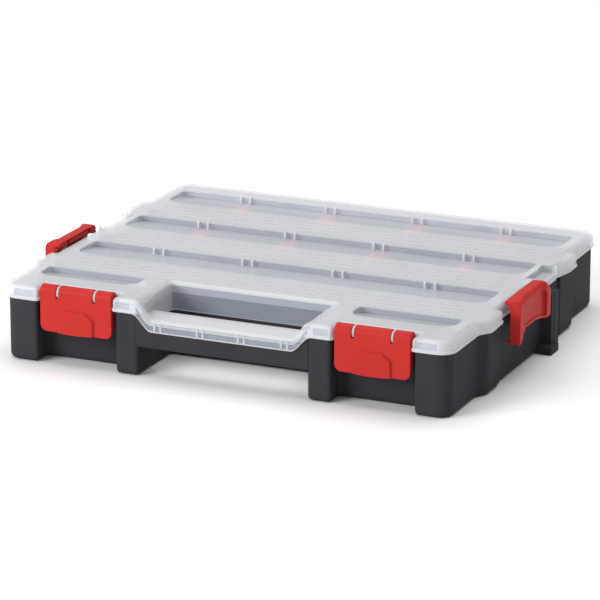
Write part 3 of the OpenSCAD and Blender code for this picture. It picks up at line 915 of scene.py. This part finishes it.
def latch_ears(side):
    """The lid's two ears that carry a front latch's pin."""
    y, z = LATCH_AXIS
    parts = []
    for s in SIDES:
        x = side * LATCH_X + s * EAR_X
        ends = (x - EAR_T / 2, x + EAR_T / 2)
        parts.append(rod_x(*ends, y, z, LATCH_R - 0.6))
        parts.append(box(*ends, y, LATCH_WALL + 1.5, z - 4, z + 3.4))
    return parts


def side_ears(side):
    """The lid's two ears that carry a side latch's pin."""
    x, z = SIDE_AXIS
    foot = LID_Z + 0.2
    parts = []
    for y in SIDE_EARS:
        ends = (y - EAR_T / 2, y + EAR_T / 2)
        parts.append(rod_y(*ends, side * x, z, 3))
        parts.append(box(*span(side, x - 2.2, x + 2), *ends, foot, z))
        parts.append(box(*span(side, LATCH_SIDE - 1.5, x + 2), *ends, foot, LID_Z + 3))
    return parts


def lid_knuckle(side):
    """The lid's hinge knuckle, and the arm that joins it to the back of the skirt."""
    x0, x1 = side * HINGE_X - HINGE_L / 2, side * HINGE_X + HINGE_L / 2
    y, z = HINGE
    skirt = BACK + OVERHANG
    arm = [(skirt - 1.6, LID_Z + 0.2), (y - 1, z), (y + HINGE_R, z), (y + HINGE_R, z + 1.5),
           (skirt + 0.8, TOP - TOP_R), (skirt - 1.6, TOP - TOP_R)]
    return [rod_x(x0, x1, y, z, HINGE_R), prism_x(arm, x0, x1)]


def hinge_room(side):
    """Room for the tray's knuckles, and the bore for the pin."""
    parts = [rod_x(side * HINGE_X - 60, side * HINGE_X + 60, *HINGE, PIN_R + 0.08)]
    half = KNUCKLE_L / 2 + KNUCKLE_GAP
    for x in knuckle_middles(side):
        parts.append(rod_x(x - half, x + half, *HINGE, HINGE_R + 0.6))
    return parts


def skirt_panels():
    """Shallow thin panels in the front skirt, in the corners and beside the latches."""
    low, high = LID_Z + LIP_H + 0.7, TOP - TOP_R + 1.4
    panels = []
    for x0, x1 in ((LEG_X + 6, RECESS_X[0] - 1.5), (RECESS_X[1] + 1, SIDE_X - 10)):
        panels += [box(*span(side, x0, x1), SKIRT_Y - 2, SKIRT_Y + 0.35, low, high) for side in SIDES]
    return panels


def make_lid():
    block, hollow = lid_block_and_hollow()
    lip_top = (LID_Z + LIP_H + 0.25) * MM
    for face in block.polygons:
        face.material_index = THICK if face.center.z < lip_top else PLAIN
    pockets = [side_pocket(side) for side in SIDES]
    tongue_cut = box(-LEG_X - 9, LEG_X + 9, FRONT - 1, HANDLE_WALL + 8, RIM_Z - 5, LID_Z)
    add = [tongue(), *[window_pan(*w) for w in WINDOWS], *[floor for floor, _ in pockets]]
    # Pocket cuts take the thin colour, which is partly painted shade
    cuts = [window_cut(*w) for w in WINDOWS] + made_of(THIN_SHADED, *[cut for _, cut in pockets])
    # Skirt panels take the colour of painted shade
    cuts += [*made_of(SHADED_WALL, *skirt_panels()), cheek_cut(), tongue_cut]
    late = made_of(THICK, *window_ribs(), *grip_ribs())
    late += [gap_skirt(), *fine_lines(), grip_top(), *grip_skirt()]
    bores = []
    for side in SIDES:
        late += [*latch_ears(side), *side_ears(side), *lid_knuckle(side)]
        bores += hinge_room(side)
    lid = combine("lid_moulding", block, [("DIFFERENCE", [hollow]), ("UNION", add), ("DIFFERENCE", cuts),
                                          ("UNION", late), ("DIFFERENCE", bores)])
    smooth(lid)
    finished(lid, "lid", "clear_plastic", [CLEAR, CLEAR_THICK, CLEAR_THIN_SHADED, CLEAR_SHADED_WALL], "lid")


# ---- Latches ----

def pad_dots(x):
    """Rows of small six-sided domes on the thumb pad, fewer in the rows between its cut corners."""
    y = LATCH_FACE_Y - PAD_OUT
    points, faces = [], []
    for row in range(DOT_ROWS):
        reach = min(DOTS_EACH_SIDE, 17 - row)
        v = LATCH_Z + 2.2 + row * DOT_PITCH_Z
        for col in range(-reach, reach + 1):
            u = x + col * DOT_PITCH_X + (row % 2) * DOT_STAGGER - 0.4
            n = len(points)
            points += [(p, y + 0.05, q) for p, q in circle(u, v, DOT_R, 6)]
            points += [(u, y - DOT_UP, v), (u, y + 0.3, v)]
            for k in range(6):
                j = (k + 1) % 6
                faces.append((n + k, n + j, n + 6))
                faces.append((n + j, n + k, n + 7))
    return solid(points, faces)


def thumb_pad(x):
    """A raised pad with cut corners, sloping edges and a slightly bowed foot."""
    top = LATCH_Z + PAD_H
    rings = []
    # g is how far the pad has narrowed where it stands that far out of the latch's face
    for g, out in ((0, -1), (0, 0.2), (1.2, PAD_OUT)):
        half, corner = EAR_X - g, PAD_CORNER - 0.4 * g
        shoulder = top - 6 - g * 0.4
        foot = []
        for k in range(9):
            along = 1 - k / 4
            foot.append((x + half * along, LATCH_Z + g * 0.4 - 0.9 * (1 - along ** 2)))
        head = [(x - half, shoulder), (x - half + corner, top - g),
                (x + half - corner, top - g), (x + half, shoulder)]
        rings.append([(u, LATCH_FACE_Y - out, v) for u, v in foot + head])
    return loft(rings)


def latch_webs(x):
    """The webs behind both ends of a front latch's face, and its nose on three gussets."""
    y0 = LATCH_FACE_Y + 1
    y1 = FRONT + RECESS_D - 8.5
    z = LATCH_AXIS[1]
    web = [(y0, LATCH_Z + 7), (y0 + 7, LATCH_Z + 10), (y0 + 7, z - 12), (y0, z - 2)]
    parts = []
    for s in SIDES:
        middle = x + s * (LATCH_HALF - WEB_HALF)
        parts.append(prism_x(web, middle - WEB_HALF, middle + WEB_HALF))
    low, high = CATCH_Z - 4, CATCH_Z - 1
    parts.append(box(x - NOSE_HALF, x + NOSE_HALF, y0, y1, low, high))
    gusset = [(y0, low - 4), (y1, low), (y1, high), (y0, high + 4)]
    for off in (-11, 0, 11):
        parts.append(prism_x(gusset, x + off - WEB_HALF, x + off + WEB_HALF))
    return parts


def ear_slots(side):
    """What a front latch leaves free round the lid's two ears."""
    y, z = LATCH_AXIS
    room = EAR_T / 2 + EAR_GAP
    middles = [side * LATCH_X + s * EAR_X for s in SIDES]
    slots = [rod_x(x - room, x + room, y, z, LATCH_R + 0.1) for x in middles]
    return slots + [box(x - room, x + room, LATCH_FACE_Y - 1, y, z - 4.2, z) for x in middles]


def front_latch(side):
    """The rolled latch over the lid's front edge, and its thumb pad as a piece of its own."""
    x = side * LATCH_X
    x0, x1 = x - LATCH_HALF, x + LATCH_HALF
    y, z = LATCH_AXIS
    face = rounded([(x0, LATCH_Z, FACE_CORNER_R), (x1, LATCH_Z, FACE_CORNER_R), (x1, z, 0), (x0, z, 0)])
    add = [prism_y(face, LATCH_FACE_Y, LATCH_FACE_Y + FACE_T), *latch_webs(x)]
    name = "right" if side > 0 else "left"
    latch = combine(f"front_latch_{name}_moulding", rod_x(x0, x1, y, z, LATCH_R),
                    [("UNION", add), ("DIFFERENCE", ear_slots(side))])
    soften(latch, 0.7, 3)
    body = f"front_latch_{name}"
    finished(latch, body, "red_plastic", [RED], body)
    grip = combine(f"front_latch_{name}_grip", thumb_pad(x), [("UNION", [pad_dots(x)])])
    smooth(grip)
    finished(grip, body, "red_plastic", [RED])


def side_section(y):
    """The side latch's section at y: a flange over the hinge and a plate down the side."""
    y0, y1 = SIDE_LATCH
    # The plate bulges outwards near both ends
    bulge = 0
    if y < -40:
        bulge = eased(y - y0, 12, 1, 16, 0)
    elif y > -20:
        bulge = eased(y1 - y, 9, 0.8, 14, 0)
    out = PLATE_OUT + PLATE_BULGE * bulge
    inner = out - PLATE_T
    # The flange drops at the rear end, and is thinner at the front end
    top = FLANGE_TOP - max(0, y - y1 + 7) * 0.9
    under = top - (FLANGE_END_T if y < y0 + 5 else FLANGE_T)
    # The plate is tallest in the leg at the front end, and reaches further down again at the rear
    rear, leg = clamped((y - y1 + 30) / 24), clamped((y0 + 9 - y) / 4)
    low = max(PLATE_Z - 4.0 * rear - 9.0 * leg, SIDE_LATCH_Z)
    return [
        (FLANGE_IN, under), (FLANGE_IN, top - 0.7), (FLANGE_IN + 0.8, top),
        (out - 4, top + 0.2), (out - 1.9, top - 0.6), (out - 0.5, top - 2.6), (out, top - 5.2),
        (out, low + 1.3), (out - 0.5, low + 0.4), (out - 1.3, low), (out - 2.6, low), (inner, low + 0.6),
        (inner, under - 1.6), (inner - 0.6, under - 0.4), (inner - 1.6, under),
    ]


def side_panel(side):
    """The sunk field on the side latch's outer face."""
    y0, y1 = SIDE_LATCH
    field = [(y0 + 10, 45), (y0 + 10, 58), (y0 + 16, 65), (y1 - 16, 65), (y1 - 9, 60.5), (y1 - 9, 41),
             (y1 - 17, 42), (y1 - 26, 45)]
    return prism_x(field, *span(side, PANEL_OUT, PANEL_OUT + 6.1))


def side_slots(side):
    """What a side latch leaves free round the lid's two ears."""
    x, z = SIDE_AXIS
    room = EAR_T / 2 + EAR_GAP
    swing = [(side * u, v) for u, v in ((x, z), (x - 9, z), (x - 9, z + 4.7), (x - 4.7, z + 4.7))]
    slots = []
    for y in SIDE_EARS:
        ends = (y - room, y + room)
        slots.append(rod_y(*ends, side * x, z, 3.5))
        slots.append(box(*span(side, x - 6, x + 2.3), *ends, z - 5, z + 2))
        slots.append(prism_y(swing, *ends))
    return slots


def side_latch_parts(side):
    """The leg at the front end with its hook, the rod round the pin, and the nose behind the plate."""
    x, z = SIDE_AXIS
    y0, y1 = SIDE_LATCH
    out = PLATE_OUT + PLATE_BULGE
    foot = SIDE_LATCH_Z + 0.2
    wall = SIDE_X + SIDE_WALL_OUT
    return [box(*span(side, 210, out - 0.6), y0, y0 + 5.5, foot, 67),
            box(*span(side, 206.6, 212), y0 + 0.4, y0 + 5.2, foot, foot + 2),
            rod_y(y0 + 0.5, y1 - 1.5, side * x, z, SIDE_ROD_R),
            box(*span(side, wall + 2.4, out - 3.5), y0 + 30, y1 - 30, CATCH_Z - 5, CATCH_Z - 2)]


def side_latch(side):
    """The flange over the lid's edge, with the plate down the side and its leg."""
    y0, y1 = SIDE_LATCH
    # Sections close together where the plate changes, and one in its even middle
    front_stations = [y0 + 4.5 + 1.5 * k for k in range(10)]
    rear_stations = [y1 - 28 + 2 * k for k in range(15)]
    stations = [y0, *front_stations, -20, *rear_stations]
    rings = [[(side * u, y, v) for u, v in side_section(y)] for y in stations]
    rear = (FLANGE_REAR, y1 + 1)
    low_top = box(*span(side, SIDE_X, 213.4), *rear, 66.5, 72)
    open_end = box(*span(side, SIDE_X, 207.5), *rear, 58, 72)
    cuts = [side_panel(side), low_top, open_end, *side_slots(side)]
    name = "right" if side > 0 else "left"
    latch = combine(f"side_latch_{name}_moulding", loft(rings),
                    [("UNION", side_latch_parts(side)), ("DIFFERENCE", cuts)])
    soften(latch, 0.5, 2, 40)
    body = f"side_latch_{name}"
    finished(latch, body, "red_plastic", [RED], body)


# ---- Carried-over CAD nodes ----

def repaint(material, *nodes):
    """Gives CAD nodes that are kept as they are a better material."""
    for node in nodes:
        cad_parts[node].data.materials.clear()
        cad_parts[node].data.materials.append(material)


# ---- Studio ----

FLOOR_REACH = 6.0
FLOOR_WHITE = 0.95
SKY_STRENGTH = 0.35
LENS = 215.8
SENSOR = 36
FAR = 50
CAMERA_PLACE = (1.1890, -2.7068, 0.9404)
CAMERA_TARGET = (-0.00845, 0.00452, 0.02444)


def floor():
    r = FLOOR_REACH
    mesh = bpy.data.meshes.new("floor")
    mesh.from_pydata([(-r, -r, 0), (r, -r, 0), (r, r, 0), (-r, r, 0)], [], [(0, 1, 2, 3)])
    plane = placed("floor", mesh)
    material, _, _, shader = new_material("pale_floor")
    shader.inputs["Base Color"].default_value = (FLOOR_WHITE, FLOOR_WHITE, FLOOR_WHITE, 1)
    shader.inputs["Roughness"].default_value = 0.9
    mesh.materials.append(material)


def aim(thing, place, target):
    thing.location = place
    thing.rotation_euler = (Vector(target) - Vector(place)).to_track_quat("-Z", "Y").to_euler()


def softbox(name, place, target, size, power):
    data = bpy.data.lights.new(name, "AREA")
    data.shape = "RECTANGLE"
    data.size, data.size_y = size
    data.energy = power
    aim(placed(name, data), place, target)


def studio():
    world = bpy.data.worlds.new("studio")
    bpy.context.scene.world = world
    world.use_nodes = True
    background = world.node_tree.nodes["Background"]
    background.inputs["Color"].default_value = (1, 1, 1, 1)
    background.inputs["Strength"].default_value = SKY_STRENGTH
    softbox("key", place=(-1.6, -2.2, 1.1), target=(0, 0, 0), size=(1.6, 1.2), power=58)
    softbox("top", place=(0.0, 0.7, 2.6), target=(0, 0.2, 0), size=(3.2, 3.2), power=66)
    bpy.context.scene.view_settings.view_transform = "Standard"


def camera():
    data = bpy.data.cameras.new("camera")
    data.lens = LENS
    data.sensor_width = SENSOR
    data.clip_end = FAR
    cam = placed("camera", data)
    aim(cam, CAMERA_PLACE, CAMERA_TARGET)
    bpy.context.scene.camera = cam


camera()
studio()
floor()
make_tray()
make_lid()
for each in SIDES:
    front_latch(each)
    side_latch(each)
# The dividers take the red that carries painted light
for row_name in ("middle", "rear"):
    repaint(DIVIDER_RED_PAINTED_LIGHT, *[f"divider_{row_name}_{k}" for k in (1, 2, 3, 4)])
for kind in ("hinge", "front_latch", "side_latch"):
    repaint(STEEL, f"{kind}_pin_left", f"{kind}_pin_right")
